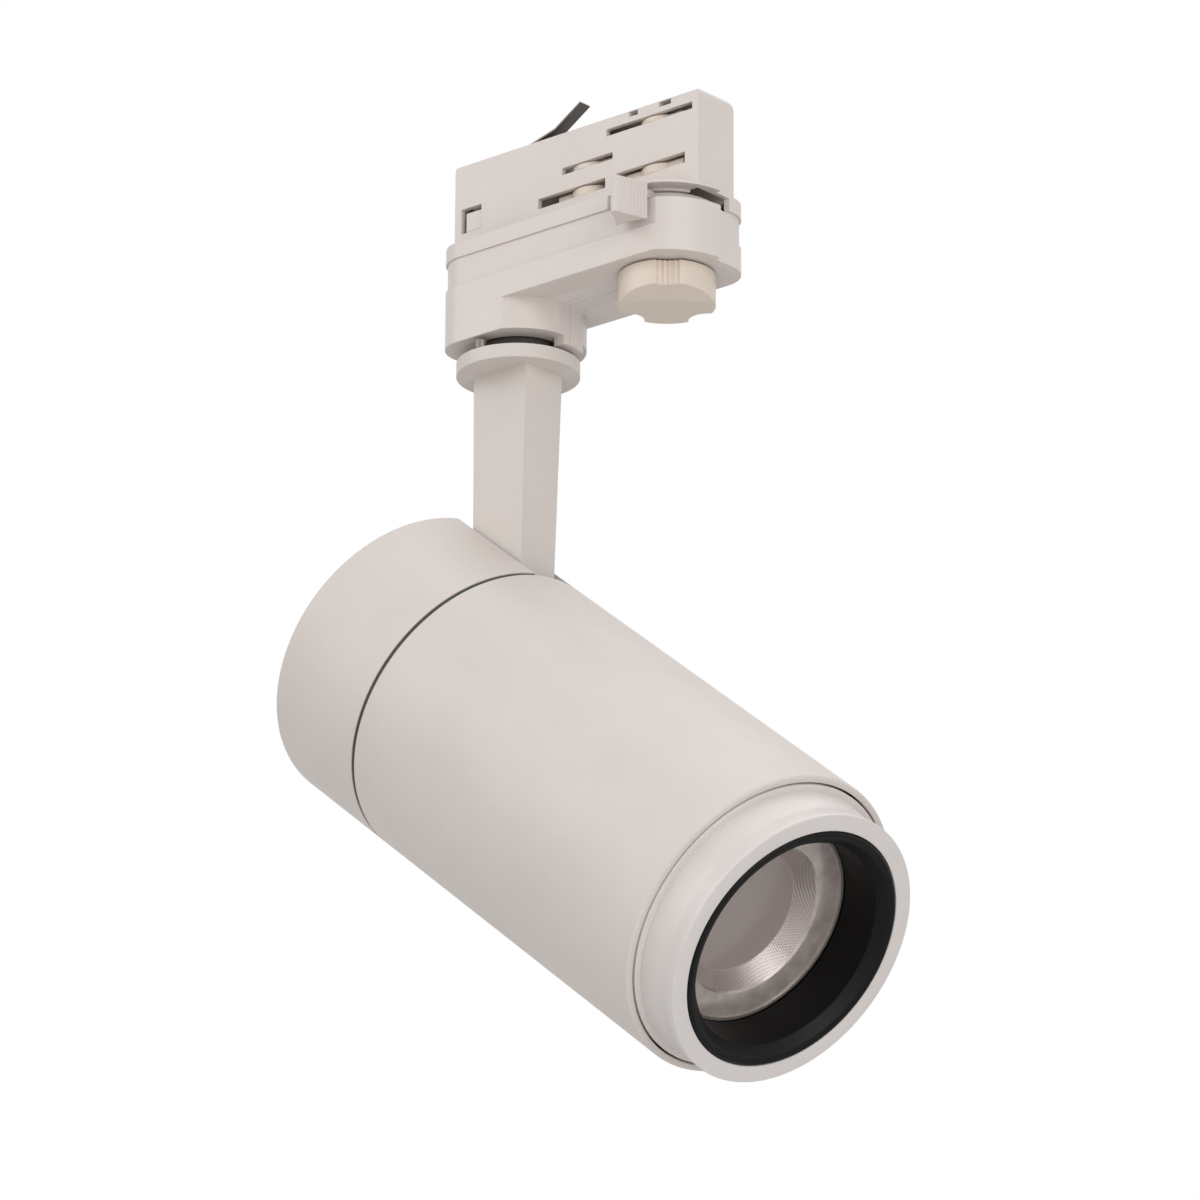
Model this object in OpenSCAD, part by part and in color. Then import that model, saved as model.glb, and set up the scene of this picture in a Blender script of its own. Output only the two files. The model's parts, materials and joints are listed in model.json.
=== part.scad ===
// Track spotlight: three-circuit adapter, swivelling arm, tilting head and a zoom ring.
// Origin: centre of the adapter's flange, on the plane that bears on the track. +Z is up.
// The adapter lies along X and the head hangs below its -X end and points towards +X.

/* [Adapter] */
// Length of the adapter along the track
adapter_len = 95; // [85:1:115]
// Width of the plug that enters the track
plug_w = 16; // [14:0.5:18]
// Height of the plug above the flange
plug_h = 30.7; // [28:0.1:36]
// Wall of the plug housing
plug_wall = 1.6; // [1.2:0.1:2]
// Width of the flange that bears on the track
flange_w = 36.2; // [33:0.2:42]
// Plan radius of the flange corners
flange_corner_r = 10.5; // [8:0.5:14]
// Depth of the plug housing's own flange
shell_flange_h = 4.8; // [4:0.2:6]
// Depth of the middle housing
mid_h = 8.8; // [8:0.2:12]
// Depth of the lower shells
lower_h = 8.1; // [7:0.2:12]
// Wall of the housings under the flange
housing_wall = 2; // [1.6:0.1:2.4]
// How far the middle housing stands back from the flange
mid_recess = 0.6; // [0:0.1:1]
// Depth of the swivel boss below the lower shells
boss_h = 9.9; // [8:0.5:16]
// Radius of the swivel boss
boss_r = 20.2; // [17:0.2:24]

/* [Lever and knob] */
// Distance of the lever and knob axis from the adapter's centre
turret_x = 28.9; // [26:0.1:34]
// Radius of the lever drum and the shell round it
turret_r = 20.4; // [19.5:0.1:22]
// Travel of the lock lever, degrees
lever_travel = 80; // [60:5:90]
// Length of the lever tab outside the drum
tab_len = 10.9; // [7:0.1:13]
// Radius of the circuit knob
knob_r = 14.2; // [12:0.1:15]
// Depth of the circuit knob
knob_h = 9.2; // [7:0.1:12]

/* [Swivel] */
// Distance of the swivel axis from the adapter's centre
swivel_x = -28.7; // [-34:0.1:-26]
// Radius of the threaded nipple
nipple_r = 5; // [4:0.5:6]
// Bore of the nipple, for the wires
nipple_bore_r = 3.4; // [2:0.1:3.6]
// Radius of the friction washers
washer_r = 12.8; // [10:0.2:16]
// Gap between the boss and the arm's collar, filled by the washers
washer_stack = 4; // [3:0.5:6]

/* [Arm] */
// Radius of the arm's collar
collar_r = 18.3; // [17:0.1:22]
// Thickness of the collar
collar_h = 4.2; // [3:0.2:6]
// Distance from the collar's underside to the tilt pin
arm_drop = 66.2; // [56:0.2:90]
// Thickness of the arm across the tilt pin, at the top
arm_t_top = 16; // [14:0.2:17]
// Thickness of the arm across the tilt pin, at the bottom
arm_t_low = 14.6; // [12:0.2:15]
// Half width of the arm on its straight back face
arm_back = 10.4; // [8:0.1:10.6]
// Half width of the arm on its front face, at the top
arm_front_top = 10.2; // [8:0.1:11]
// Half width of the arm on its front face, at the bottom
arm_front_low = 8.2; // [7:0.1:10]

/* [Head] */
// Radius of the head
head_r = 46.1; // [40:0.1:56]
// Wall of the front body
body_wall = 2; // [1.6:0.1:3]
// Length of the rear cap
cap_len = 39.4; // [36:0.2:50]
// Wall of the rear cap
cap_wall = 2.6; // [2:0.1:3]
// Width of the dark groove between the cap and the body
seam_gap = 1.4; // [1:0.1:3]
// Length of the front body
body_len = 132; // [126:1:160]
// Angle of the head below the horizontal, degrees
tilt = 38; // [0:1:90]
// Distance of the tilt pin from the back of the head
pin_back = 27.6; // [25:0.2:30]
// Distance of the tilt pin from the head's axis
pin_off = 36.2; // [34:0.1:38]
// Width of the slot that takes the arm
slot_w = 17.4; // [16.8:0.1:20]
// Radius of the tilt pin
pin_r = 3; // [2.5:0.1:3.5]

/* [Zoom] */
// How far the zoom ring stands out of the body
ring_out = 14.6; // [10:0.1:20]
// Radius of the zoom ring's front lip
ring_r = 41.5; // [38:0.1:44]
// Radius of the opening in the zoom ring's face
ring_open_r = 36.4; // [33:0.1:38]
// Clearance between parts that turn in one another
turn_gap = 0.3; // [0.2:0.05:0.5]
// Turn of the zoom ring from its front stop to its rear stop, degrees
zoom_turn = 90; // [60:5:110]
// Travel of the lens
zoom_travel = 22; // [16:1:24]
// Radius of the lens
lens_r = 30.8; // [28:0.1:33]
// Depth of the lens behind the zoom ring's face
lens_depth = 16.5; // [14:0.5:20]

/* [Hidden] */
$fn = 96;

// Heights of the adapter's layers
z_mid = -shell_flange_h;
z_low = z_mid - mid_h;
z_under = z_low - lower_h;
z_boss = z_under - boss_h;
z_collar = z_boss - washer_stack;
z_arm = z_collar - collar_h;
z_pin = z_arm - arm_drop;
flange_y = flange_w / 2;
end_x = adapter_len / 2;
eps = 0.01;
gap = 0.15;

// Lever
plate_top = -2;
plate_t = 2.6;
plate_disc_r = 15;
tab_top = -1;
tab_h = 11.2;
roof_t = 1.6;
shelf_t = 0.8;
floor_t = 1.4;
cam_nose_r = 7.6;
stop_at = collar_r - 1.9;
rotor_r = 5.6;
gear_teeth = 16;
gear_gap = 26.6;
gear_r = gear_gap / 2;
gear_add = 1.1;
gear_ded = 1.5;
gear_t = 4;
gear_z = z_low + 2.2;
rotor_x = turret_x - gear_gap;
shaft_r = 3;
knob_gap = 0.6;
knob_turn = -49;

// Head, measured along its axis from the plane of the tilt pin
h_back = -pin_back;
h_seam = h_back + cap_len;
h_body = h_seam + seam_gap;
h_lip = h_body + body_len;
h_face = h_lip + ring_out;
bore_r = head_r - body_wall;
plate_r = head_r - 0.3;
cheek_t = 3;
h_lens = h_face - lens_depth;
lens_t = 7;
carriage_len = 18;
sleeve_r = 38.6;
sleeve_t = 1.6;
cam_r = sleeve_r + turn_gap;
cam_t = 1.8;
pin_len = 7.2;
guide_pin_r = 1.5;
slot_clear = 0.5;
h_sink = h_body + 9;
sink_len = 34;
h_led = h_sink + sink_len + 5;
cam_len = zoom_travel + 18;
h_pins = h_lens - lens_t - 5;
h_cam = h_pins - zoom_travel - 7;

// ---------------------------------------------------------------- helpers

module at_turret() { translate([turret_x, 0, 0]) children(); }

module at_rotor() { translate([rotor_x, 0, 0]) children(); }

module at_swivel() { translate([swivel_x, 0, 0]) children(); }

// Head frame: origin on the tilt pin, X along the head towards the front, Z away from its axis
module in_head() { translate([swivel_x, 0, z_pin]) rotate([0, tilt, 0]) children(); }

// Z runs along the head's axis, from the plane of the tilt pin to the front
module on_axis() { in_head() translate([0, 0, -pin_off]) rotate([0, 90, 0]) children(); }

module disc(r, z0, z1) { translate([0, 0, z0]) cylinder(r = r, h = z1 - z0); }

module tube(r_out, r_in, z0, z1) {
    difference() {
        disc(r_out, z0, z1);
        disc(r_in, z0 - 1, z1 + 1);
    }
}

// Wedge between two angles, as an outline
module sector(a0, a1, r) {
    steps = 8;
    polygon(concat([[0, 0]], [for (i = [0:steps]) let (a = a0 + (a1 - a0) * i / steps)
        [r * cos(a), r * sin(a)]]));
}

// Rectangle with its own radius at each corner: left, right near and right far
module flange_outline(inset = 0, arc_inset = -1) {
    arc_r = turret_r - (arc_inset < 0 ? inset : arc_inset);
    r = flange_corner_r - inset;
    x = end_x - inset;
    y = flange_y - inset;
    cx = end_x - flange_corner_r;
    cy = flange_y - flange_corner_r;
    for (s = [-1, 1]) translate([-cx, s * cy]) circle(r = r);
    translate([cx, cy]) circle(r = r);
    translate([-cx, -y]) square([cx + turret_x, 2 * y]);
    translate([-x, -cy]) square([x, 2 * cy]);
    translate([0, 0]) square([x, cy]);
    translate([0, 0]) square([cx, y]);
    intersection() {
        translate([turret_x, 0]) circle(r = arc_r);
        translate([turret_x - 1, -y]) square([turret_r + 1, y]);
    }
}

// Swivel boss: a round boss that runs out into the end of the flange
module boss_outline(inset = 0) {
    intersection() {
        flange_outline(inset);
        union() {
            translate([swivel_x, 0]) circle(r = boss_r - inset);
            translate([-end_x, -flange_y]) square([end_x + swivel_x, flange_w]);
        }
    }
}

module layer(z0, z1) { translate([0, 0, z0]) linear_extrude(z1 - z0) children(); }

// Spur gear outline with straight flanks and working backlash
module gear_outline(teeth, r, half_turn = false) {
    step = 360 / teeth;
    shift = half_turn ? step / 2 : 0;
    w_root = 0.30 * step;
    w_tip = 0.12 * step;
    circle(r = r - gear_ded);
    for (i = [0:teeth - 1]) rotate(i * step + shift) polygon([
        [(r - gear_ded - 0.5) * cos(w_root), -(r - gear_ded) * sin(w_root)],
        [r + gear_add, -(r + gear_add) * sin(w_tip)],
        [r + gear_add, (r + gear_add) * sin(w_tip)],
        [(r - gear_ded - 0.5) * cos(w_root), (r - gear_ded) * sin(w_root)]]);
}

// Screw with a flat head, pointing down, its head's top at the origin
module screw(r, len, head_r, head_h) {
    difference() {
        union() {
            disc(head_r, -head_h, 0);
            disc(r, -len, -head_h);
        }
        for (a = [0, 90]) rotate(a) translate([-head_r * 0.6, -0.3, -head_h * 0.5])
            cube([head_r * 1.2, 0.6, head_h]);
    }
}

// ---------------------------------------------------------------- adapter

// Slots through the plug's side walls: where each starts and ends along X, its foot and its height
slot_rows = [[12.2, 45.2, 23.7, 2.2], [-5, 14.7, 16, 2.2], [-14.3, 11.9, 7.6, 3.2], [16, 42.4, 7.5, 3.4]];

// Cross-section of the plug: low near edge, crowned roof and a well rounded far edge
module plug_section(inset) {
    half = plug_w / 2 - inset;
    top = plug_h - inset;
    far_r = 3.8 - inset;
    polygon([[half, -shell_flange_h], [-half, -shell_flange_h], [-half, top - 1.5], [-half + 0.5, top - 1.1],
        [-1, top], [half - far_r, top], [half, top - far_r]]);
    translate([half - far_r, top - far_r]) circle(r = far_r);
}

module plug_block(inset) {
    r_end = 3 - inset;
    intersection() {
        translate([0, 50, 0]) rotate([90, 0, 0]) linear_extrude(100) {
            translate([-end_x + inset, -shell_flange_h])
                square([adapter_len - 2 * inset, plug_h + shell_flange_h - 3]);
            translate([-end_x + 3, 0]) square([adapter_len - 6, plug_h - inset]);
            for (s = [-1, 1]) translate([s * (end_x - 3), plug_h - 3]) circle(r = r_end);
        }
        translate([-60, 0, 0]) rotate([90, 0, 90]) linear_extrude(120) plug_section(inset);
    }
}

module plug_slots() {
    for (row = slot_rows) translate([row[0], -plug_w, row[2]])
        cube([row[1] - row[0], 2 * plug_w, row[3]]);
    for (s = [-1, 1]) scale([1, s, 1]) {
        // windows that the carrier's hooks snap into, and two small windows over the top slot
        translate([-end_x + 2.6, -plug_w, 7.5]) cube([8, plug_w - 2, 7.9]);
        translate([21, -plug_w, 27.5]) cube([3.4, plug_w - 2, 1.6]);
        translate([32.5, -plug_w, 27.5]) cube([4.6, plug_w - 2, 1.6]);
    }
}

module plug_housing() {
    web_x = (slot_rows[1][1] + slot_rows[3][0]) / 2;
    color("whitesmoke") difference() {
        union() {
            plug_block(0);
            layer(z_mid, 0) flange_outline();
        }
        difference() {
            plug_block(plug_wall);
            layer(-shell_flange_h - 1, -shell_flange_h + eps) square(200, center = true);
        }
        layer(z_mid - 1, -roof_t) flange_outline(housing_wall);
        layer(-roof_t - 1, 1) square([adapter_len - 2 * plug_wall - 1, plug_w - 2 * plug_wall], center = true);
        plug_slots();
        // opening for the earth spring
        translate([-37, -3, plug_h - 4]) cube([29, 6, 6]);
        // window in which the lever travels
        translate([turret_x, 0, z_mid - 1]) linear_extrude(shell_flange_h + 1 - shelf_t) difference() {
            sector(-112, lever_travel - 62, 40);
            circle(r = plate_disc_r + 0.6);
        }
    }
    // web between the two rotors
    color("whitesmoke") translate([web_x - 0.5, -plug_w / 2 + 0.8, -roof_t + eps])
        cube([1, plug_w - 1.6, 22.4]);
}

module contact_carrier() {
    inner_w = plug_w - 2 * plug_wall - 2 * gap;
    color("white") difference() {
        union() {
            // spine under the roof of the plug, clear of both rotors
            translate([-end_x + 5, -inner_w / 2, -2]) cube([24, inner_w, 24]);
            for (s = [-1, 1]) scale([1, s, 1]) translate([-end_x + 4.2, inner_w / 2 - 1, 7.7])
                cube([6.2, 1 + gap + plug_wall - 0.4, 6.2]);
        }
        // dark gap over the hooks
        translate([-end_x + 4, -20, 13.9]) cube([9, 40, 1.6]);
        translate([-end_x + 7, -inner_w / 2 + 1.6, -3]) cube([20, inner_w - 3.2, 23]);
        // room under the earth spring
        translate([-36, -3, 18]) cube([18, 6, 6]);
    }
}

// Leaf that touches the track's roof: flat root, long shallow rise, short steeper tip
module earth_spring() {
    leaf_w = 4.4;
    color("dimgray") translate([0, leaf_w / 2, 0]) rotate([90, 0, 0]) linear_extrude(leaf_w)
        polygon([[-42, 22.05], [-38.2, 22.05], [-34.5, 29], [-13, 34.5], [-3, 40.6], [-3.3, 41.1],
            [-13.2, 35.1], [-34.9, 29.6], [-38.6, 22.6], [-42, 22.6]]);
}

module mid_housing() {
    inner = mid_recess + housing_wall;
    color("gainsboro") difference() {
        union() {
            difference() {
                layer(z_low, z_mid) flange_outline(mid_recess, 0);
                layer(z_low + floor_t, z_mid + 1) flange_outline(inner, housing_wall);
            }
            // bridge that carries the circuit rotor
            translate([rotor_x - 4, -flange_y + inner - 0.5, z_mid - 1.8])
                cube([8, flange_w - 2 * inner + 1, 1.6]);
        }
        // bearings of the two rotors and the way for the wires
        at_rotor() disc(shaft_r + 0.05, z_low - 1, z_mid + 1);
        at_turret() disc(rotor_r - 0.55, z_low - 1, z_low + floor_t + 1);
        translate([-44, -12, z_low - 1]) cube([24, 24, floor_t + 2]);
        // lowered rim under the lever's window
        translate([turret_x, 0, z_mid - 0.5]) linear_extrude(1) difference() {
            sector(-112, lever_travel - 62, 40);
            circle(r = turret_r - housing_wall - 0.5);
        }
    }
}

// One half of the lower shells: +1 is the far half, -1 the near one
module lower_half(side) {
    inner = housing_wall;
    cut_y = side > 0 ? gap / 2 : -60 - gap / 2;
    intersection() {
        translate([-100, cut_y, -100]) cube([200, 60, 100]);
        difference() {
            union() {
                layer(z_under, z_low) flange_outline();
                layer(z_boss, z_under + eps) boss_outline();
                // lug that the stop screw meets at either end of a turn
                at_swivel() layer(z_collar + 1.2, z_boss + 1) intersection() {
                    sector(-7, 22, 30);
                    difference() {
                        circle(r = boss_r);
                        circle(r = stop_at - 0.5);
                    }
                }
            }
            layer(z_under + inner, z_low + 1) flange_outline(inner);
            layer(z_boss + 3, z_under + inner + 1) boss_outline(inner + 1.5);
            // bore for the nipple, recess for the washers
            at_swivel() disc(nipple_r + turn_gap, z_boss - 1, z_under);
            at_swivel() disc(washer_r + 0.6, z_boss - 1, z_boss + 1.4);
            // bore for the knob's neck
            at_turret() disc(9.4, z_under - 1, z_low);
            // pockets for the shell screws
            for (x = [-6, 8]) translate([x, 0, (z_under + z_low) / 2 - 0.6]) rotate([-90, 0, 0])
                disc(1.1, -12, 12);
        }
    }
    // posts for the shell screws
    for (x = [-6, 8]) translate([x, 0, (z_under + z_low) / 2 - 0.6]) rotate([side > 0 ? -90 : 90, 0, 0])
        difference() {
            tube(2.6, 1.1, gap / 2, flange_y - inner + eps);
            disc(2.2, 12, flange_y);
        }
}

module near_lower_shell() { color("whitesmoke") lower_half(-1); }

module far_lower_shell() {
    color("whitesmoke") difference() {
        lower_half(1);
        for (x = [-6, 8]) translate([x, 0, (z_under + z_low) / 2 - 0.6]) rotate([-90, 0, 0])
            disc(2.2, 12, flange_y + 1);
    }
}

module shell_screws() {
    color("silver") for (x = [-6, 8]) translate([x, 13.8, (z_under + z_low) / 2 - 0.6])
        rotate([-90, 0, 0]) screw(1.05, 22, 2, 1.6);
}

module terminal_block() {
    color("white") difference() {
        translate([-43.2, -11.4, z_low - 3.2]) cube([8, 22.8, 9.6]);
        for (y = [-9, -4.5, 0, 4.5, 9]) translate([-39.2, y, 0]) {
            disc(1.55, z_low + 1, z_low + 8);
            translate([0, 0, z_low - 1]) rotate([0, 90, 0]) disc(1.1, -1, 6);
        }
    }
}

module terminal_screws() {
    color("silver") for (y = [-9, -4.5, 0, 4.5, 9]) translate([-39.2, y, z_low + 6])
        screw(1, 4.6, 1.5, 1.4);
}

// Three cores from the terminals into the nipple
module supply_wires() {
    colors = ["saddlebrown", "royalblue", "yellowgreen"];
    core_r = 0.95;
    for (i = [0:2]) {
        y = (i - 1) * 4.5;
        x_in = swivel_x + (i == 1 ? 1.2 : -0.7);
        y_in = (i - 1) * 1.1;
        color(colors[i]) {
            translate([-39, y, z_low - 1]) rotate([0, 90, 0]) disc(core_r, 0, 4.6);
            between([-34.9, y, z_low - 1], [x_in, y_in, z_under], core_r);
            translate([x_in, y_in, 0]) disc(core_r, z_boss - 8, z_under + 0.4);
        }
    }
}

// Round bar between two points
module between(p, q, r) {
    d = q - p;
    len = norm(d);
    translate(p) rotate([0, acos(d[2] / len), atan2(d[1], d[0])]) disc(r, 0, len);
}

// Leaf that clicks into the knob's neck
module detent_spring() {
    color("silver") translate([turret_x - 17, 0, z_under + housing_wall + 0.4]) {
        translate([0, 1, 0]) cube([0.5, 9, 4]);
        translate([0, 9.5, 0]) cube([8, 0.5, 4]);
    }
}

// ---------------------------------------------------------------- lever and its rotor

module lock_lever() {
    tip = turret_r + tab_len;
    rib_foot = [8.4, -19.8];
    rib_top = [6, -tip + 2.8];
    color("whitesmoke") at_turret() difference() {
        union() {
            disc(plate_disc_r, plate_top - plate_t, plate_top);
            // hub that drives the rotor
            disc(rotor_r + 1.2, gear_z + gear_t + 0.2, plate_top);
            // neck through the window
            layer(plate_top - plate_t, plate_top) polygon([[-4, 0], [6, 0], [7.5, -20], [-1, -20]]);
            // tab: a fin that hangs in front of the housing
            layer(tab_top - tab_h, tab_top) polygon([[8.6, -18.9], [5.9, -tip + 1.9], [5, -tip + 1.5],
                [3.9, -tip + 1.7], [1, -24], [-1.8, -20.7], [2, -20.8], [6, -19.9]]);
            // fine grip ribs on the tab's pushing face
            for (i = [0:8]) translate(concat(rib_foot + (rib_top - rib_foot) * i / 8, 0))
                disc(0.3, tab_top - tab_h + 0.6, tab_top - 0.2);
        }
        disc(rotor_r, -60, 60);
    }
}

// Cam that swings out through a slot: a round hub with one long arm
module cam(reach, half_w, z0, z1) {
    layer(z0, z1) {
        circle(r = cam_nose_r);
        intersection() {
            translate([0, -half_w]) square([reach, 2 * half_w]);
            circle(r = reach);
        }
    }
}

module lock_rotor() {
    color("oldlace") at_turret() difference() {
        union() {
            disc(rotor_r, gear_z + gear_t, 20);
            for (a = [0, 180]) rotate(a) cam(12.2, 5.6, 7.8, 10.6);
            disc(rotor_r - 0.6, z_low - 2, gear_z + gear_t + eps);
        }
        disc(shaft_r + 0.05, -60, 60);
    }
}

module lever_gear() {
    color("oldlace") at_turret() difference() {
        layer(gear_z, gear_z + gear_t) gear_outline(gear_teeth, gear_r);
        disc(rotor_r - 0.6, -60, 60);
    }
}

module rotor_gear() {
    color("oldlace") at_rotor() difference() {
        layer(gear_z, gear_z + gear_t) gear_outline(gear_teeth, gear_r, true);
        disc(shaft_r, -60, 60);
    }
}

module circuit_rotor() {
    color("oldlace") at_rotor() difference() {
        union() {
            disc(shaft_r, z_low + 0.2, 21);
            disc(rotor_r, 1, 20);
            rotate(180) cam(12, 5.4, 7.9, 10.5);
            cam(11.6, 5.4, 16.3, 18);
        }
        rotate(180) translate([7.8, -2.1, 8.4]) cube([5, 4.2, 1.6]);
        translate([7.8, -2.1, 16.6]) cube([5, 4.2, 1.1]);
    }
}

module circuit_contacts() {
    color("goldenrod") at_rotor() {
        rotate(180) translate([7.8, -2, 8.5]) cube([3.6, 4, 1.4]);
        translate([7.8, -2, 16.7]) cube([3.2, 4, 0.9]);
    }
}

// ---------------------------------------------------------------- circuit knob

module circuit_knob() {
    z_top = z_under - knob_gap;
    z_bot = z_top - knob_h;
    rim = 1.9;
    inward = 10;
    slope = rim / inward;
    notch_r = 12;
    color("ivory") at_turret() rotate(knob_turn) {
        difference() {
            disc(knob_r, z_bot, z_top);
            // scoops that leave a bar between two wings
            for (s = [-1, 1]) rotate(s * 133) translate([17.2, 0, z_bot - 1]) cylinder(r = 6.2, h = knob_h - 1.6);
            // slanted underside towards the finger notch
            rotate([90, 0, 0]) translate([0, 0, -20]) linear_extrude(40)
                polygon([[knob_r + 5, z_bot - 2], [knob_r - inward - 2 / slope, z_bot - 2],
                    [knob_r + 5, z_bot + rim + 5 * slope]]);
            // hollow finger notch with upright grooves
            translate([knob_r + notch_r - 1.1, 0, z_bot - 2]) cylinder(r = notch_r, h = knob_h + 3);
            for (i = [-2:2]) let (y = 1.5 * i)
                translate([knob_r + notch_r - 1.1 - sqrt(notch_r * notch_r - y * y), y, z_bot - 2])
                    cylinder(r = 0.38, h = knob_h + 3);
            disc(shaft_r, z_bot + 3, z_top + 20);
        }
        // neck that turns in the lower shells
        tube(9.1, shaft_r, z_top - eps, z_under + housing_wall + 1);
    }
}

module selector_shaft() {
    color("ivory") at_turret() disc(shaft_r, z_under - knob_gap - knob_h + 3, 26.2);
}

module selector_contact() {
    color("oldlace") at_turret() difference() {
        union() {
            disc(5, 22, 25.7);
            cam(11.6, 5.4, 23.9, 25.7);
        }
        disc(shaft_r, -60, 60);
    }
}

// ---------------------------------------------------------------- swivel

module friction_washers() {
    color([0.2, 0.19, 0.18]) at_swivel() {
        tube(washer_r, nipple_r + turn_gap, z_boss + 0.05, z_boss + 1.35);
        tube(washer_r - 0.3, nipple_r + turn_gap, z_boss - 1.95, z_boss);
    }
}

module spring_washer() {
    color("dimgray") at_swivel() tube(washer_r - 0.1, nipple_r + 0.1, z_collar + 0.02, z_boss - 2);
}

module nipple() {
    color("silver") at_swivel() tube(nipple_r, nipple_bore_r, z_arm - 4, z_boss + 9);
}

module lock_nut() {
    color("silver") at_swivel() difference() {
        layer(z_boss + 3.1, z_boss + 7.1) circle(r = 8.4, $fn = 6);
        disc(nipple_r, z_boss, z_boss + 10);
    }
}

// Screw in the collar that meets the boss at the end of a turn
module stop_screw() {
    color("dimgray") at_swivel() rotate(-90) translate([stop_at, 0, 0]) {
        disc(1.9, z_collar, z_collar + 2.8);
        disc(1.2, z_collar - 3, z_collar);
    }
}

// ---------------------------------------------------------------- arm

module arm() {
    core_r = 4.2;
    tongue_r = arm_front_low;
    color("whitesmoke") at_swivel() difference() {
        union() {
            disc(collar_r, z_arm, z_collar);
            intersection() {
                // side view: straight back, tapering front, round foot
                translate([0, 30, z_pin]) rotate([90, 0, 0]) linear_extrude(60) {
                    polygon([[-arm_back, 0], [-arm_back, arm_drop + eps], [arm_front_top, arm_drop + eps],
                        [arm_front_low, 0]]);
                    translate([(arm_front_low - arm_back) / 2, 0]) circle(r = (arm_front_low + arm_back) / 2);
                }
                // front view: tapers a little towards the foot
                translate([-30, 0, z_pin]) rotate([90, 0, 90]) linear_extrude(60)
                    polygon([[-arm_t_low / 2, -20], [arm_t_low / 2, -20], [arm_t_low / 2, 0],
                        [arm_t_top / 2, arm_drop + eps], [-arm_t_top / 2, arm_drop + eps], [-arm_t_low / 2, 0]]);
            }
        }
        // way for the wires and seat for the nipple
        disc(core_r, z_pin + 14, z_arm - 4);
        disc(nipple_r, z_arm - 4, z_collar + 1);
        translate([-arm_back - 1, -core_r, z_pin + 8]) cube([arm_back + 1, 2 * core_r, 12]);
        translate([0, 0, z_pin]) rotate([90, 0, 0]) disc(pin_r + 0.05, -30, 30);
        rotate(-90) translate([stop_at, 0, 0]) disc(1.2, z_collar - 3, z_collar + 1);
    }
}

module arm_wires() {
    colors = ["saddlebrown", "royalblue", "yellowgreen"];
    for (i = [0:2]) color(colors[i]) at_swivel() rotate(i * 120) translate([2.1, 0, 0])
        disc(0.95, z_pin + 21, z_boss - 8.4);
}

// ---------------------------------------------------------------- tilt joint and head

module tilt_pin() {
    half = slot_w / 2 + cheek_t;
    color("silver") in_head() rotate([90, 0, 0]) {
        disc(pin_r, -half - 4, half);
        disc(4.8, half, half + 2.4);
    }
}

module tilt_nut() {
    half = slot_w / 2 + cheek_t;
    color("silver") in_head() rotate([90, 0, 0]) difference() {
        layer(-half - 3.4, -half) circle(r = 5, $fn = 6);
        disc(pin_r, -half - 5, -half + 1);
    }
}

// Friction discs between the arm's foot and the cheeks of the cap
module tilt_washers() {
    t = (slot_w - arm_t_low) / 2 - 0.1;
    color([0.2, 0.19, 0.18]) in_head() for (s = [-1, 1]) scale([1, s, 1]) rotate([90, 0, 0])
        tube(7.5, pin_r, -slot_w / 2, -slot_w / 2 + t);
}

module rear_cap() {
    inner = head_r - cap_wall;
    color("whitesmoke") difference() {
        union() {
            on_axis() difference() {
                union() {
                    disc(head_r, h_back + 1.5, h_seam);
                    disc(head_r - 1.5, h_back, h_seam);
                    translate([0, 0, h_back + 1.5]) rotate_extrude() translate([head_r - 1.5, 0]) circle(r = 1.5);
                }
                disc(inner, h_back + cap_wall, h_seam + 1);
            }
            // cheeks of the arm's slot
            intersection() {
                on_axis() disc(inner + 0.5, h_back + 1, h_seam - 5.2);
                in_head() translate([-pin_back, -slot_w / 2 - cheek_t, -arm_back - 1 - cheek_t])
                    cube([cap_len - 5.2, slot_w + 2 * cheek_t, 60]);
            }
            // posts for the cap screws
            on_axis() for (a = [-55, 55, 180]) rotate(a) translate([-inner + 4.2, 0, 0])
                disc(4, h_back + cap_wall - 0.5, h_seam - 5.2);
        }
        in_head() translate([-pin_back - 1, -slot_w / 2, -arm_back - 1])
            cube([cap_len + 2, slot_w, 80]);
        in_head() rotate([90, 0, 0]) disc(pin_r, -slot_w / 2 - cheek_t - 1, slot_w / 2 + cheek_t + 1);
        // pockets inside the wall for the pin's head and nut
        in_head() for (s = [-1, 1]) scale([1, s, 1]) rotate([90, 0, 0])
            disc(5.8, slot_w / 2 + cheek_t, slot_w / 2 + cheek_t + 4.6);
        on_axis() for (a = [-55, 55, 180]) rotate(a) translate([-inner + 4.2, 0, 0])
            disc(1.25, h_seam - 18, h_seam);
    }
}

// Dark plate that joins the cap to the body and shows in the groove
module seam_plate() {
    inner = head_r - cap_wall;
    color([0.2, 0.2, 0.2]) difference() {
        on_axis() difference() {
            union() {
                disc(inner - 0.05, h_seam - 5, h_seam);
                disc(plate_r, h_seam, h_body);
                disc(bore_r - 0.05, h_body, h_body + 4);
            }
            disc(inner - 5, h_seam - 6, h_seam - 1);
            for (a = [-55, 55, 180]) rotate(a) translate([-inner + 4.2, 0, 0])
                disc(1.6, h_seam - 10, h_body + 10);
            disc(5, h_seam - 10, h_body + 10);
        }
        in_head() translate([-pin_back, -slot_w / 2, -arm_back - 1])
            cube([pin_back + h_body, slot_w, 80]);
    }
}

module cap_screws() {
    inner = head_r - cap_wall;
    color("silver") on_axis() for (a = [-55, 55, 180]) rotate(a)
        translate([-inner + 4.2, 0, h_body + 6]) screw(1.25, 20, 2.8, 2);
}

module driver_board() {
    color("darkgreen") on_axis() translate([8, -24, h_back + cap_wall + 3])
        cube([1.6, 48, 24]);
}

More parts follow.
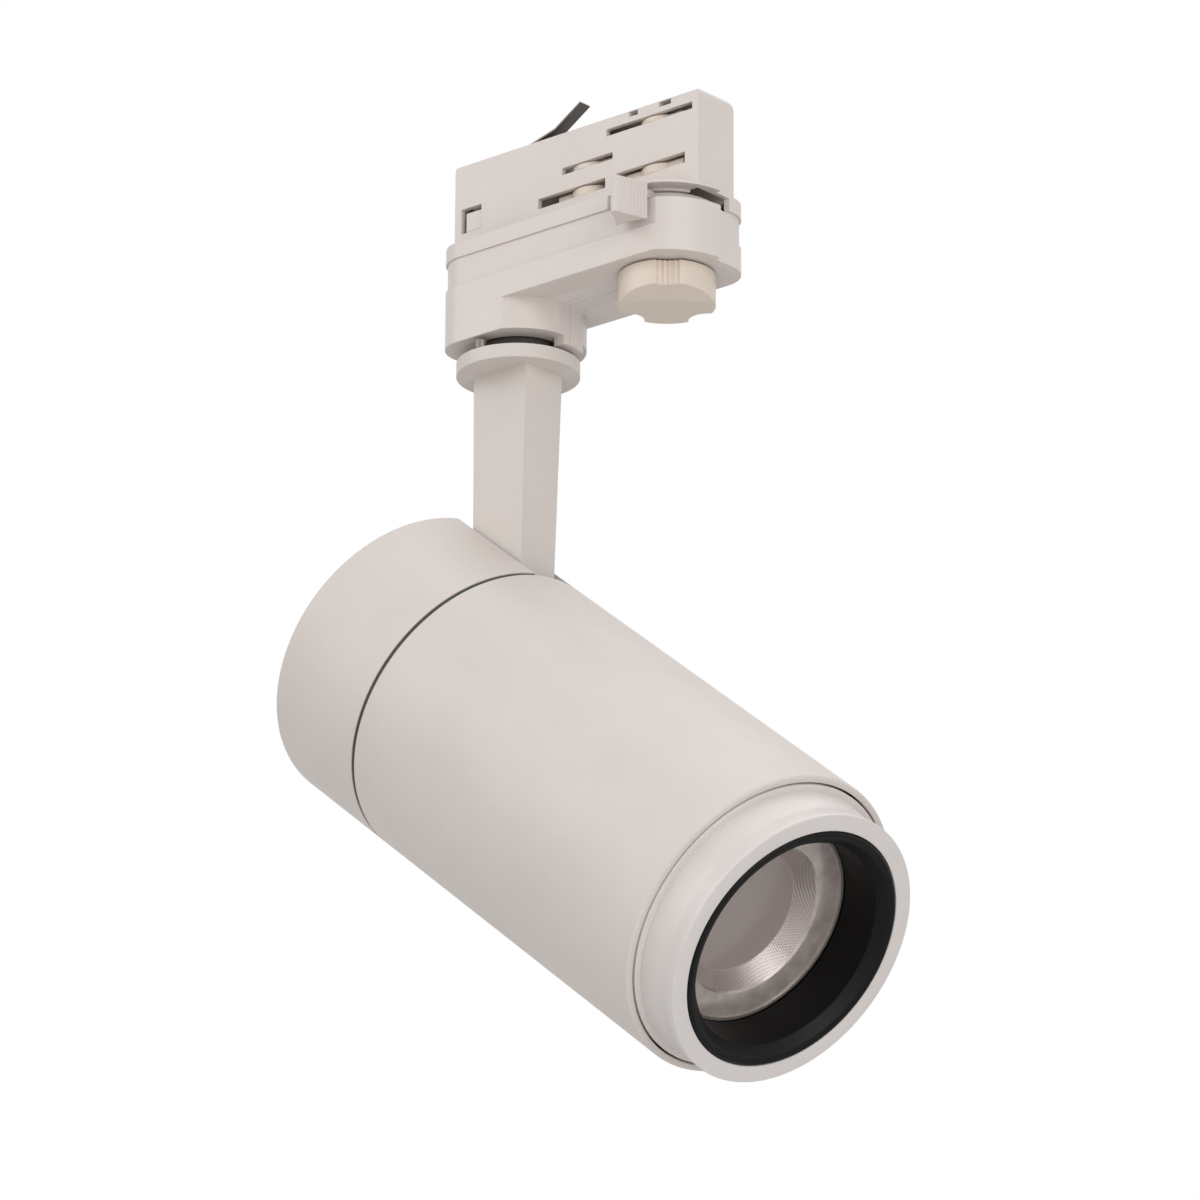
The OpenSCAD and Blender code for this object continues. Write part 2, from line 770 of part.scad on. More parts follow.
module driver_parts() {
    color("khaki") on_axis() translate([9.6, -20, h_back + cap_wall + 5]) cube([14, 16, 18]);
    color("black") on_axis() translate([9.6, 4, h_back + cap_wall + 12]) rotate([0, 90, 0]) disc(5, 0, 14);
    color("dimgray") on_axis() translate([9.6, 14, h_back + cap_wall + 7]) cube([6, 8, 12]);
}

module front_body() {
    lip_round = 0.8;
    color("whitesmoke") on_axis() difference() {
        union() {
            disc(head_r, h_body, h_lip - lip_round);
            disc(head_r - lip_round, h_body, h_lip);
            translate([0, 0, h_lip - lip_round]) rotate_extrude() translate([head_r - lip_round, 0])
                circle(r = lip_round);
        }
        disc(bore_r, h_body - 1, h_lip + 1);
    }
}

module heat_sink() {
    fins = 18;
    fin_t = 1.6;
    color("silver") on_axis() difference() {
        union() {
            layer(h_sink, h_sink + sink_len + eps) difference() {
                union() {
                    circle(r = 16);
                    for (i = [0:fins - 1]) rotate(i * 360 / fins) translate([12, -fin_t / 2])
                        square([bore_r - 13, fin_t]);
                }
                circle(r = 4);
            }
            disc(bore_r - 0.05, h_sink + sink_len, h_led);
        }
        for (s = [-1, 1]) translate([0, s * 16.5, 0]) disc(1.2, h_led - 4.4, h_led + 1);
    }
}

module led_board() {
    color("white") on_axis() translate([-12, -12, h_led]) cube([24, 24, 1.4]);
}

module led_emitter() { color("gold") on_axis() disc(9, h_led + 1.4, h_led + 2.2); }

module led_holder() {
    color("white") on_axis() difference() {
        union() {
            disc(22, h_led, h_led + 4);
            tube(13, 10, h_led + 4 - eps, h_led + 7);
        }
        translate([-12.1, -12.1, h_led - 1]) cube([24.2, 24.2, 2.5]);
        disc(10, h_led, h_led + 8);
        for (s = [-1, 1]) translate([0, s * 16.5, 0]) {
            disc(1.4, h_led - 1, h_led + 6);
            disc(2.6, h_led + 2.6, h_led + 6);
        }
    }
}

module holder_screws() {
    color("silver") on_axis() for (s = [-1, 1]) translate([0, s * 16.5, h_led + 4.2])
        screw(1.2, 8.4, 2.4, 1.6);
}

// Fixed sleeve: its straight slots keep the lens carriage from turning
module guide_sleeve() {
    color("dimgray") on_axis() difference() {
        union() {
            tube(sleeve_r, sleeve_r - sleeve_t, h_led, h_lip - 6.6);
            tube(bore_r - 0.05, sleeve_r - sleeve_t, h_led, h_led + 3);
        }
        for (i = [0:2]) rotate(i * 120) translate([30, 0, 0]) {
            translate([0, -guide_pin_r - slot_clear, h_pins - zoom_travel])
                cube([20, 2 * (guide_pin_r + slot_clear), zoom_travel]);
            for (h = [h_pins - zoom_travel, h_pins]) translate([0, 0, h]) rotate([0, 90, 0])
                cylinder(r = guide_pin_r + slot_clear, h = 20);
        }
    }
}

// ---------------------------------------------------------------- zoom ring

module zoom_ring() {
    skirt_r = bore_r - 0.2;
    root_r = ring_r + 0.1;
    waist_r = ring_r - 1;
    step = 0.3;
    skirt_h = 6;
    flare = 2.6;
    lip_t = 0.9;
    color("white") on_axis() difference() {
        union() {
            disc(skirt_r, h_lip - skirt_h, h_lip + step);
            // waisted grip: a small cove at the root and a flare under the front lip
            translate([0, 0, h_lip + step - eps]) rotate_extrude() difference() {
                square([ring_r, ring_out - step]);
                polygon(concat([[60, -eps], [root_r + 0.5, -eps]],
                    [for (i = [0:10]) let (a = i * 9)
                        [waist_r + (root_r - waist_r + 0.5) * (1 - sin(a)), 3 * (1 - cos(a))]],
                    [for (i = [0:10]) let (a = i * 9)
                        [waist_r + (ring_r - waist_r) * (1 - cos(a)), ring_out - step - lip_t - flare + flare * sin(a)]],
                    [[60, ring_out - step - lip_t]]));
            }
        }
        disc(ring_open_r, h_lip - skirt_h - 1, h_face + 1);
        // room for the lens carriage
        disc(sleeve_r - sleeve_t + 0.4, h_lip - skirt_h - 1, h_lens + 0.5);
        for (i = [0:2]) rotate(60 + i * 120) translate([cam_r + 2.4, 0, 0]) disc(0.9, h_lip - 7, h_lip - 3);
    }
}

// Black snoot inside the ring: a rounded bead at the mouth, then a tube back to the lens
module baffle() {
    out = ring_open_r - 0.05;
    mouth = ring_open_r - 5;
    z0 = 0.6 - lens_depth;
    color([0.03, 0.03, 0.03]) on_axis() translate([0, 0, h_face]) rotate_extrude()
        polygon([[lens_r, z0], [mouth, -3], [mouth + 0.5, -2.4], [out - 2.6, 0], [out - 2, 0.35], [out - 1.2, 0.45],
            [out - 0.4, 0.3], [out, -0.1], [out, -6], [out - 1.8, -6], [lens_r + 1.8, z0]]);
}

// Tube with three helical slots, which drive the lens carriage when the ring turns
module cam_sleeve() {
    wide = 2 * (guide_pin_r + slot_clear) / zoom_travel * zoom_turn;
    color("gray") on_axis() difference() {
        union() {
            tube(cam_r + cam_t, cam_r, h_cam, h_lip - 6);
            tube(bore_r - 0.4, cam_r, h_lip - 10, h_lip - 6);
        }
        for (i = [0:2]) rotate(60 + i * 120) translate([cam_r + 2.4, 0, 0]) disc(0.9, h_lip - 9, h_lip - 5);
        for (i = [0:2]) rotate(i * 120 - zoom_turn) translate([0, 0, h_pins - zoom_travel - guide_pin_r - slot_clear])
            linear_extrude(zoom_travel + 2 * (guide_pin_r + slot_clear), twist = -zoom_turn - wide, slices = 24, $fn = 8)
                rotate(-wide) polygon([for (k = [0:3]) (cam_r - 1) * [cos(wide * k / 3), sin(wide * k / 3)],
                    for (k = [3:-1:0]) (cam_r + 4) * [cos(wide * k / 3), sin(wide * k / 3)]]);
    }
}

module ring_screws() {
    color("silver") on_axis() for (i = [0:2]) rotate(60 + i * 120)
        translate([cam_r + 2.4, 0, h_lip - 9]) disc(0.9, 0, 6);
}

// ---------------------------------------------------------------- lens group

module lens_carriage() {
    out = sleeve_r - sleeve_t - turn_gap;
    color([0.1, 0.1, 0.1]) on_axis() difference() {
        disc(out, h_lens - lens_t - carriage_len + 4, h_lens - 1.2);
        disc(lens_r + 0.05, h_lens - lens_t, h_lens);
        disc(lens_r - 2.5, h_lens - 60, h_lens);
        for (i = [0:2]) rotate(i * 120) translate([30, 0, h_pins]) rotate([0, 90, 0])
            disc(guide_pin_r, 0, 20);
    }
}

module guide_pins() {
    color("silver") on_axis() for (i = [0:2]) rotate(i * 120)
        translate([sleeve_r - sleeve_t - 3.4, 0, h_pins]) rotate([0, 90, 0]) disc(guide_pin_r, 0, pin_len);
}

module lens() {
    color([0.8, 0.8, 0.78, 0.6]) on_axis() {
        disc(lens_r, h_lens - lens_t, h_lens - lens_t + 2);
        translate([0, 0, h_lens - lens_t + 2 - eps]) cylinder(r1 = lens_r, r2 = lens_r - 0.4, h = lens_t - 3.2);
    }
}

module lens_ring() {
    color("dimgray") on_axis() tube(lens_r + 0.1, lens_r - 1, h_lens - 1.2, h_lens - 0.1);
}

// ---------------------------------------------------------------- parts

plug_housing();
contact_carrier();
earth_spring();
mid_housing();
near_lower_shell();
far_lower_shell();
shell_screws();
terminal_block();
terminal_screws();
supply_wires();
detent_spring();
lock_lever();
lock_rotor();
lever_gear();
circuit_rotor();
rotor_gear();
circuit_contacts();
circuit_knob();
selector_shaft();
selector_contact();
friction_washers();
spring_washer();
nipple();
lock_nut();
stop_screw();
arm();
arm_wires();
tilt_pin();
tilt_nut();
tilt_washers();
rear_cap();
seam_plate();
cap_screws();
driver_board();
driver_parts();
front_body();
heat_sink();
led_board();
led_emitter();
led_holder();
holder_screws();
guide_sleeve();
zoom_ring();
baffle();
cam_sleeve();
ring_screws();
lens_carriage();
guide_pins();
lens();
lens_ring();
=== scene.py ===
"""Track spotlight: white three-circuit adapter, swivelling arm, tilting head, zoom ring and lens.

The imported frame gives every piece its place. Lengths are in metres unless a name ends in _mm.
"""

import json
import math

import bmesh
import bpy
import numpy as np
from mathutils import Matrix, Vector


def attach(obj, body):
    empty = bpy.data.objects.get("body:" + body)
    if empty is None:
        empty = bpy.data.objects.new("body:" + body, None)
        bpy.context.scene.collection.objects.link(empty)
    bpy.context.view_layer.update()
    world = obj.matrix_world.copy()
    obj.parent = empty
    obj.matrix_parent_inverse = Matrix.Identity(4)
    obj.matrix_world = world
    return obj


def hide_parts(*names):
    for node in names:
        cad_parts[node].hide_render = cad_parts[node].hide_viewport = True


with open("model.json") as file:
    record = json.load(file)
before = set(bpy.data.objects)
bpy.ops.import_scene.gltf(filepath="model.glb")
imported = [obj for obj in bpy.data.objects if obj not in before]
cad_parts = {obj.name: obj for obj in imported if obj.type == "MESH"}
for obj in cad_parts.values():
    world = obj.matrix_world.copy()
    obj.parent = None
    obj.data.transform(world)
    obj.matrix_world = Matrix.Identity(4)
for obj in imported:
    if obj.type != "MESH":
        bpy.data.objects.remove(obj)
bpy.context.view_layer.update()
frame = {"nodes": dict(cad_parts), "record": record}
NODES = frame["nodes"]
MM = 0.001

# Head, along its own axis: 0 is the plane of the tilt pin
SWIVEL_X = -28.7
PIN_Z = -106.0
PIN_OFF = 36.2
TILT = math.radians(38)
SEAM = 11.8
BODY = 13.2
LIP = 145.2
FACE = 159.8
LENS = 143.3
HEAD_R = 46.1
BORE_R = 44.1
OPEN_R = 36.4

# ---------------------------------------------------------------- materials


def shader(name):
    """A new node material and its main shader."""
    mat = bpy.data.materials.new(name)
    mat.use_nodes = True
    return mat, mat.node_tree.nodes, mat.node_tree.links, mat.node_tree.nodes["Principled BSDF"]


def set_look(bsdf, colour, rough, metal=0.0, coat=0.0, coat_rough=0.1, ior=1.5):
    """Plain numbers go straight onto the shader's own sockets."""
    bsdf.inputs["Base Color"].default_value = (*colour, 1)
    bsdf.inputs["Roughness"].default_value = rough
    bsdf.inputs["Metallic"].default_value = metal
    bsdf.inputs["Coat Weight"].default_value = coat
    bsdf.inputs["Coat Roughness"].default_value = coat_rough
    bsdf.inputs["IOR"].default_value = ior


def grain(nodes, links, scale, detail=2.0):
    """Noise in the piece's own place, so that it never slides."""
    coord = nodes.new("ShaderNodeTexCoord")
    noise = nodes.new("ShaderNodeTexNoise")
    noise.inputs["Scale"].default_value = scale
    noise.inputs["Detail"].default_value = detail
    links.new(coord.outputs["Object"], noise.inputs["Vector"])
    return noise


def ramp(nodes, links, source, low, high, at=(0.3, 0.7)):
    """Blend between two colours as the source rises."""
    node = nodes.new("ShaderNodeValToRGB")
    node.color_ramp.elements[0].position = at[0]
    node.color_ramp.elements[1].position = at[1]
    node.color_ramp.elements[0].color = (*low, 1)
    node.color_ramp.elements[1].color = (*high, 1)
    links.new(source, node.inputs["Fac"])
    return node


def bump(nodes, links, bsdf, height, strength, distance):
    """Small relief from a height."""
    node = nodes.new("ShaderNodeBump")
    node.inputs["Strength"].default_value = strength
    node.inputs["Distance"].default_value = distance
    links.new(height, node.inputs["Height"])
    links.new(node.outputs["Normal"], bsdf.inputs["Normal"])
    return node


def coated(name, colour, rough, grain_scale, relief, tone=0.02, **look):
    """Coat or moulding: an even colour that drifts very slightly, over a fine grain."""
    mat, nodes, links, bsdf = shader(name)
    set_look(bsdf, colour, rough, **look)
    drift = grain(nodes, links, 45, 3)
    low = [max(0, c * (1 - tone)) for c in colour]
    high = [min(1, c * (1 + tone)) for c in colour]
    tint = ramp(nodes, links, drift.outputs["Fac"], low, high)
    links.new(tint.outputs["Color"], bsdf.inputs["Base Color"])
    fine = grain(nodes, links, grain_scale, 3)
    if relief:
        bump(nodes, links, bsdf, fine.outputs["Fac"], relief, 0.0004)
    return mat


WARM_WHITE = (0.66, 0.6, 0.56)
MATS = {
    "coat": coated("powder_coat", (0.655, 0.595, 0.555), 0.5, 2600, 0.10),
    "plastic": coated("white_plastic", (0.665, 0.60, 0.56), 0.36, 900, 0.04),
    "ring": coated("satin_white", (0.69, 0.645, 0.62), 0.33, 2200, 0.03),
    "cream": coated("cream_plastic", (0.72, 0.62, 0.53), 0.4, 700, 0.05),
    "black": coated("black_satin", (0.0016, 0.0015, 0.0015), 0.5, 1500, 0.06, ior=1.3),
    "dark": coated("dark_gasket", (0.03, 0.035, 0.035), 0.6, 1500, 0.1),
    "washer": coated("dark_fibre", (0.06, 0.052, 0.045), 0.55, 900, 0.2),
    "spring": coated("blued_steel", (0.14, 0.13, 0.12), 0.38, 1200, 0.05, metal=0.9),
    "zinc": coated("zinc_plate", (0.55, 0.53, 0.5), 0.3, 1200, 0.05, metal=1.0),
    "brass": coated("contact_brass", (0.6, 0.42, 0.18), 0.32, 900, 0.05, metal=1.0),
    "wire": coated("wire_sleeve", (0.12, 0.07, 0.04), 0.5, 900, 0.05),
    "bare": coated("bare_aluminium", (0.6, 0.6, 0.6), 0.4, 900, 0.05, metal=1.0),
    "anodised": coated("dark_anodised", (0.06, 0.06, 0.06), 0.4, 900, 0.05, metal=0.8),
    "board": coated("solder_mask", (0.02, 0.09, 0.04), 0.35, 900, 0.05),
    "phosphor": coated("phosphor", (0.75, 0.42, 0.08), 0.45, 900, 0.05),
    "stop": coated("dulled_steel", (0.2, 0.18, 0.16), 0.42, 900, 0.1, metal=0.9),
    "bezel": coated("lens_edge", (0.42, 0.37, 0.33), 0.25, 900, 0.3, metal=0.6),
}
SLOT_LOOK = {
    "white_plastic": "plastic", "cream_plastic": "cream", "dark_plastic": "dark",
    "black_plastic": "black", "dark_washer": "washer", "spring_steel": "spring",
    "zinc_steel": "zinc", "contact_brass": "brass", "wire_insulation": "wire",
    "coated_aluminium": "coat", "bare_aluminium": "bare", "ring_coat": "ring",
    "dark_metal": "anodised", "bezel_metal": "bezel", "board": "board",
    "phosphor": "phosphor", "lens_clear": "bezel",
}
OWN_LOOK = {"stop_screw": "stop"}
SLOT_OF = {s["node"]: s["material_slot"] for s in frame["record"]["subparts"]}
BODY_OF = {n: b for b, ns in frame["record"]["behaviour"]["bodies"].items() for n in ns}

for node_name, node in NODES.items():
    node.data.materials.clear()
    node.data.materials.append(MATS[OWN_LOOK.get(node_name, SLOT_LOOK[SLOT_OF[node_name]])])

# ---------------------------------------------------------------- soft edges on the rigid parts


def soften(node_name, width_mm, segments=3, angle=28, weld_mm=0.004, foot_mm=None):
    """Shows a CAD node with small rounded edges: a merged copy with a bevel along its sharp edges.

    foot_mm, a height and a radius, gives the edges round the piece's foot a larger rounding.
    """
    source = NODES[node_name]
    mesh = source.data.copy()
    work = bmesh.new()
    work.from_mesh(mesh)
    bmesh.ops.remove_doubles(work, verts=work.verts, dist=weld_mm * MM)
    bmesh.ops.dissolve_limit(
        work, angle_limit=math.radians(0.6), verts=work.verts, edges=work.edges, delimit={"NORMAL"}
    )
    bmesh.ops.recalc_face_normals(work, faces=work.faces)
    work.to_mesh(mesh)
    work.free()
    mesh.shade_smooth()
    mesh.set_sharp_from_angle(angle=math.radians(angle))
    if foot_mm:
        weigh_foot(mesh, width_mm, *foot_mm)
    piece = bpy.data.objects.new("soft_" + node_name, mesh)
    bpy.context.scene.collection.objects.link(piece)
    edge = piece.modifiers.new("edge", "BEVEL")
    edge.width = (foot_mm[1] if foot_mm else width_mm) * MM
    edge.segments = segments
    edge.limit_method = "WEIGHT" if foot_mm else "ANGLE"
    edge.angle_limit = math.radians(angle)
    edge.use_clamp_overlap = True
    edge.harden_normals = False
    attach(piece, BODY_OF[node_name])
    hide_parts(node_name)
    return piece


def weigh_foot(mesh, width_mm, foot_z, foot_width_mm):
    """Bevel weight of each edge: full round the foot's outline, a share of it on every other sharp edge."""
    spots = np.empty(len(mesh.vertices) * 3)
    mesh.vertices.foreach_get("co", spots)
    spots = spots.reshape(-1, 3) / MM
    ends = np.empty(len(mesh.edges) * 2, int)
    mesh.edges.foreach_get("vertices", ends)
    ends = ends.reshape(-1, 2)
    sharp = mesh.attributes["sharp_edge"]
    is_sharp = np.empty(len(mesh.edges), bool)
    sharp.data.foreach_get("value", is_sharp)
    away = np.hypot(spots[:, 0] - SWIVEL_X, spots[:, 1])
    low = (np.abs(spots[:, 2] - foot_z) < 0.05) & (away > 17) & (np.abs(spots[:, 1]) > 0.2)
    weight = np.where(is_sharp, width_mm / foot_width_mm, 0.0)
    weight[is_sharp & low[ends].all(1)] = 1.0
    layer = mesh.attributes.new("bevel_weight_edge", "FLOAT", "EDGE")
    layer.data.foreach_set("value", weight)


SOFT_EDGES_MM = {
    "plug_housing": 0.3, "contact_carrier": 0.25, "mid_housing": 0.3, "near_lower_shell": 0.4,
    "far_lower_shell": 0.4, "lock_lever": 0.4, "lock_rotor": 0.3, "circuit_rotor": 0.3,
    "selector_contact": 0.3, "circuit_knob": 0.35, "arm": 0.45, "rear_cap": 0.3,
    "friction_washers": 0.15, "spring_washer": 0.2, "stop_screw": 0.2, "earth_spring": 0.1,
    "lens_ring": 0.1, "seam_plate": 0.1,
}
for node_name, width_mm in SOFT_EDGES_MM.items():
    soften(node_name, width_mm, foot_mm=(-31.6, 1.6) if "lower_shell" in node_name else None)

# ---------------------------------------------------------------- turned pieces of the head


def head_place(across, sideways, along):
    """Head millimetres to row-frame metres: along the axis from the pin's plane, across it and sideways."""
    hx = along
    hz = -across - PIN_OFF
    x = SWIVEL_X + hx * math.cos(TILT) + hz * math.sin(TILT)
    z = PIN_Z - hx * math.sin(TILT) + hz * math.cos(TILT)
    return np.stack([x, np.broadcast_to(sideways, x.shape), z], -1) * MM


def rounded(points, steps=6):
    """A closed outline of (r, z, fillet): each corner becomes an arc of its own fillet radius."""
    out = []
    count = len(points)
    for i in range(count):
        p = np.array(points[i][:2], float)
        fillet = points[i][2]
        if not fillet:
            out.append(p)
            continue
        a = np.array(points[i - 1][:2], float) - p
        b = np.array(points[(i + 1) % count][:2], float) - p
        a /= np.linalg.norm(a)
        b /= np.linalg.norm(b)
        half = math.acos(np.clip(a @ b, -1, 1)) / 2
        centre = p + (a + b) / np.linalg.norm(a + b) * fillet / math.sin(half)
        start = p + a * fillet / math.tan(half) - centre
        end = p + b * fillet / math.tan(half) - centre
        turn = math.atan2(start[0] * end[1] - start[1] * end[0], start @ end)
        t = np.linspace(0, turn, steps)
        spin = np.stack([np.cos(t), np.sin(t)], -1)
        out += list(centre + np.stack([start[0] * spin[:, 0] - start[1] * spin[:, 1],
                                       start[0] * spin[:, 1] + start[1] * spin[:, 0]], -1))
    return np.array(out)


def turned(name, outline, material, body, node, around=240):
    """Lathe: the closed outline (r, z) swept once round the head's axis; r = 0 points close into poles."""
    outline = np.asarray(outline, float)
    angle = np.linspace(0, 2 * math.pi, around, endpoint=False)
    r = outline[:, 0][None, :]
    across = r * np.cos(angle)[:, None]
    sideways = r * np.sin(angle)[:, None]
    along = np.broadcast_to(outline[:, 1][None, :], across.shape)
    verts = head_place(across, sideways, along).reshape(-1, 3)
    n = outline.shape[0]
    i, j = np.meshgrid(np.arange(around), np.arange(n), indexing="ij")
    i2, j2 = (i + 1) % around, (j + 1) % n
    faces = np.stack([i * n + j, i2 * n + j, i2 * n + j2, i * n + j2], -1).reshape(-1, 4)
    mesh = bpy.data.meshes.new(name)
    mesh.from_pydata(verts, [], faces.tolist())
    work = bmesh.new()
    work.from_mesh(mesh)
    bmesh.ops.remove_doubles(work, verts=work.verts, dist=1e-7)
    bmesh.ops.recalc_face_normals(work, faces=work.faces)
    work.to_mesh(mesh)
    work.free()
    mesh.shade_smooth()
    mesh.set_sharp_from_angle(angle=math.radians(40))
    mesh.materials.append(material)
    piece = bpy.data.objects.new(name, mesh)
    bpy.context.scene.collection.objects.link(piece)
    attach(piece, body)
    if node:
        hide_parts(node)
    return piece


turned("body_tube", rounded([
    (BORE_R, BODY, 0.2), (HEAD_R, BODY, 0.25), (HEAD_R, LIP, 1.0), (BORE_R, LIP, 0.25)], 8),
    MATS["coat"], "head", "front_body")

RING_R = 41.5
turned("zoom_grip", rounded([
    (OPEN_R, FACE, 0.3), (RING_R, FACE, 0.35), (RING_R, FACE - 0.9, 0.15),
    (RING_R - 1.0, FACE - 6.2, 9.0), (RING_R + 0.2, LIP + 1.2, 1.2), (RING_R + 0.2, LIP + 0.3, 0),
    (BORE_R - 0.6, LIP + 0.3, 0.3), (BORE_R - 0.6, LIP - 6, 0), (OPEN_R, LIP - 6, 0)], 8),
    MATS["ring"], "focus_ring", "zoom_ring")

BAFFLE_R = OPEN_R - 0.05
MOUTH_R = OPEN_R - 5
turned("snoot", rounded([
    (30.8, FACE - 15.9, 0), (MOUTH_R, FACE - 3, 0.3), (BAFFLE_R - 2.6, FACE + 0.02, 0.7),
    (BAFFLE_R - 0.5, FACE + 0.6, 0.9), (BAFFLE_R, FACE - 0.8, 0.2), (BAFFLE_R, FACE - 6, 0),
    (BAFFLE_R - 1.8, FACE - 6, 0), (32.6, FACE - 15.9, 0)], 8),
    MATS["black"], "focus_ring", "baffle")

# ---------------------------------------------------------------- lens


def math_node(nodes, links, operation, first, second=None, third=None):
    """One sum: each of its inputs is a socket or a plain number."""
    node = nodes.new("ShaderNodeMath")
    node.operation = operation
    for slot, value in enumerate((first, second, third)):
        if value is None:
            continue
        if isinstance(value, (int, float)):
            node.inputs[slot].default_value = value
        else:
            links.new(value, node.inputs[slot])
    return node.outputs[0]


def lens_material():
    """Moulded lens over a pale bowl: fine diamond cells inside the bowl, darker in their troughs and lighter on their
    crests as painted shade and highlight, a smooth darker border round it.
    """
    mat, nodes, links, bsdf = shader("cell_lens")
    set_look(bsdf, (0.3, 0.26, 0.24), 0.2, metal=0.3, coat=0.7, coat_rough=0.08)
    coord = nodes.new("ShaderNodeTexCoord")
    shift = nodes.new("ShaderNodeVectorMath")
    shift.operation = "SUBTRACT"
    shift.inputs[1].default_value = Vector(head_place(np.zeros(1), 0.0, np.array([LENS]))[0])
    links.new(coord.outputs["Object"], shift.inputs[0])
    turn = nodes.new("ShaderNodeMapping")
    turn.inputs["Rotation"].default_value = (0, -TILT, 0)
    links.new(shift.outputs["Vector"], turn.inputs["Vector"])
    split = nodes.new("ShaderNodeSeparateXYZ")
    links.new(turn.outputs["Vector"], split.inputs["Vector"])
    y, z = split.outputs["Y"], split.outputs["Z"]
    radius = math_node(nodes, links, "SQRT", math_node(
        nodes, links, "ADD", math_node(nodes, links, "MULTIPLY", y, y), math_node(nodes, links, "MULTIPLY", z, z)))
    pitch = 2 * math.pi / (0.85 * MM)
    waves = [math_node(nodes, links, "SINE", math_node(
        nodes, links, "MULTIPLY", math_node(nodes, links, "MULTIPLY_ADD", y, sign, z), pitch)) for sign in (1.0, -1.0)]
    cells = math_node(nodes, links, "ADD", *waves)
    inside = math_node(nodes, links, "LESS_THAN", radius, BOWL_R * MM)
    height = math_node(nodes, links, "MULTIPLY", cells, inside)
    level = nodes.new("ShaderNodeMapRange")
    level.inputs["From Min"].default_value = -2
    level.inputs["From Max"].default_value = 2
    links.new(height, level.inputs["Value"])
    # The cells' colour follows their height: painted shade in the troughs, painted highlight on the crests.
    pale = ramp(nodes, links, level.outputs["Result"], (0.38, 0.315, 0.29), (0.5, 0.425, 0.395))
    border = nodes.new("ShaderNodeMix")
    border.data_type = "RGBA"
    links.new(inside, border.inputs["Factor"])
    cloud = grain(nodes, links, 220, 2)
    rim = ramp(nodes, links, cloud.outputs["Fac"], (0.38, 0.325, 0.3), (0.52, 0.45, 0.415))
    links.new(rim.outputs["Color"], border.inputs["A"])
    links.new(pale.outputs["Color"], border.inputs["B"])
    links.new(border.outputs["Result"], bsdf.inputs["Base Color"])
    bump(nodes, links, bsdf, level.outputs["Result"], 0.3, 0.0002)
    return mat


BOWL_R = 22.6
turned("lens_rim", rounded([
    (0, LENS - 6.6, 0), (18.6, LENS - 7.2, 0.5), (BOWL_R, LENS - 2.2, 0.4), (23.2, LENS - 1.6, 0.2),
    (30.2, LENS - 0.6, 0.2), (30.7, LENS - 1.2, 0.1), (30.7, LENS - 7, 0), (26, LENS - 9, 0),
    (0, LENS - 9, 0)], 5),
    lens_material(), "lens_group", "lens")

# ---------------------------------------------------------------- room, light and camera

stage_z = -0.9


def plain_floor():
    """Pale matte floor that keeps the shadow."""
    mesh = bpy.data.meshes.new("floor")
    half = 6.0
    mesh.from_pydata([(-half, -half, stage_z), (half, -half, stage_z), (half, half, stage_z), (-half, half, stage_z)],
                     [], [(0, 1, 2, 3)])
    floor = bpy.data.objects.new("floor", mesh)
    bpy.context.scene.collection.objects.link(floor)
    mat, nodes, links, bsdf = shader("floor")
    set_look(bsdf, (0.82, 0.82, 0.82), 0.9)
    mesh.materials.append(mat)


plain_floor()


def soft_lamp(name, place, aim, size, watts, colour=(1, 1, 1)):
    lamp = bpy.data.lights.new(name, "AREA")
    lamp.shape = "RECTANGLE"
    lamp.size, lamp.size_y = size
    lamp.energy = watts
    lamp.color = colour
    obj = bpy.data.objects.new(name, lamp)
    obj.location = place
    obj.rotation_euler = (Vector(aim) - Vector(place)).to_track_quat("-Z", "Y").to_euler()
    bpy.context.scene.collection.objects.link(obj)


CENTRE = (0.02, 0.0, -0.12)
soft_lamp("key", (-0.9, -1.5, 0.7), CENTRE, (1.4, 1.2), 8.6)
soft_lamp("fill", (1.7, -0.9, 0.1), CENTRE, (1.2, 1.4), 13)
soft_lamp("top", (0.2, 0.2, 1.5), CENTRE, (1.6, 1.6), 10)
soft_lamp("low", (0.6, -1.0, -0.8), CENTRE, (1.6, 0.6), 2.4)

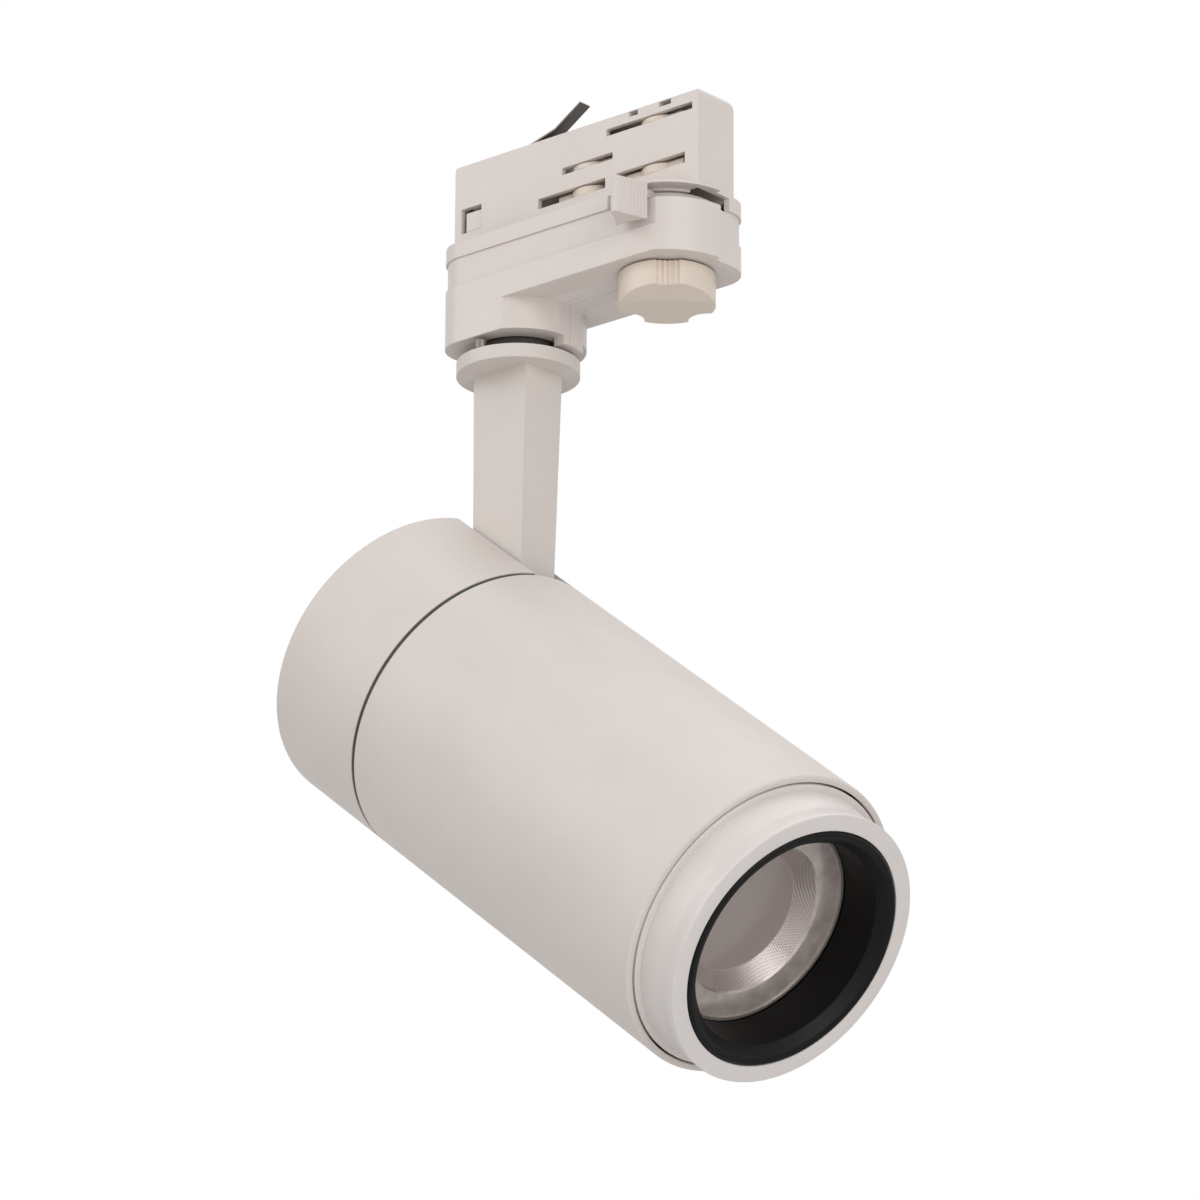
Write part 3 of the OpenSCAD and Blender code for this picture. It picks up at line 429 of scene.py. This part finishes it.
world = bpy.data.worlds.new("studio")
bpy.context.scene.world = world
world.use_nodes = True
sky = world.node_tree.nodes
sky_links = world.node_tree.links
backdrop = sky["Background"]
backdrop.inputs["Color"].default_value = (1, 1, 1, 1)
rays = sky.new("ShaderNodeLightPath")
seen = rays.outputs["Is Camera Ray"]
for other in ("Is Glossy Ray", "Is Transmission Ray"):
    either = sky.new("ShaderNodeMath")
    either.operation = "MAXIMUM"
    sky_links.new(seen, either.inputs[0])
    sky_links.new(rays.outputs[other], either.inputs[1])
    seen = either.outputs[0]
level = sky.new("ShaderNodeMapRange")
level.inputs["To Min"].default_value = 0.5
level.inputs["To Max"].default_value = 1.0
sky_links.new(seen, level.inputs["Value"])
sky_links.new(level.outputs["Result"], backdrop.inputs["Strength"])

scene = bpy.context.scene
scene.view_settings.view_transform = "Standard"

# Camera: turned 41.02 degrees about the object, 18.57 degrees below the level, 1.88 m away
AZIMUTH = math.radians(41.02)
ELEVATION = math.radians(-18.566)
ROLL = math.radians(0.315)
DISTANCE = 1.8823
FOCAL_MM = 191.8
SENSOR_MM = 36.0
ORIGIN_AT = (-0.00642, 0.30881)  # where the frame's origin falls, in frame widths right of and above the centre

back = Vector((math.sin(AZIMUTH) * math.cos(ELEVATION), -math.cos(AZIMUTH) * math.cos(ELEVATION),
               math.sin(ELEVATION)))
right = Vector((math.cos(AZIMUTH), math.sin(AZIMUTH), 0))
up = back.cross(right)
right_rolled = math.cos(ROLL) * right + math.sin(ROLL) * up
up_rolled = -math.sin(ROLL) * right + math.cos(ROLL) * up
reach = DISTANCE * SENSOR_MM / FOCAL_MM
eye = DISTANCE * back - ORIGIN_AT[0] * reach * right_rolled - ORIGIN_AT[1] * reach * up_rolled

lens = bpy.data.cameras.new("camera")
lens.lens = FOCAL_MM
lens.sensor_width = SENSOR_MM
lens.clip_start = 0.05
camera = bpy.data.objects.new("camera", lens)
scene.collection.objects.link(camera)
turn = Matrix((right_rolled, up_rolled, back)).transposed().to_4x4()
camera.matrix_world = Matrix.Translation(eye) @ turn
scene.camera = camera
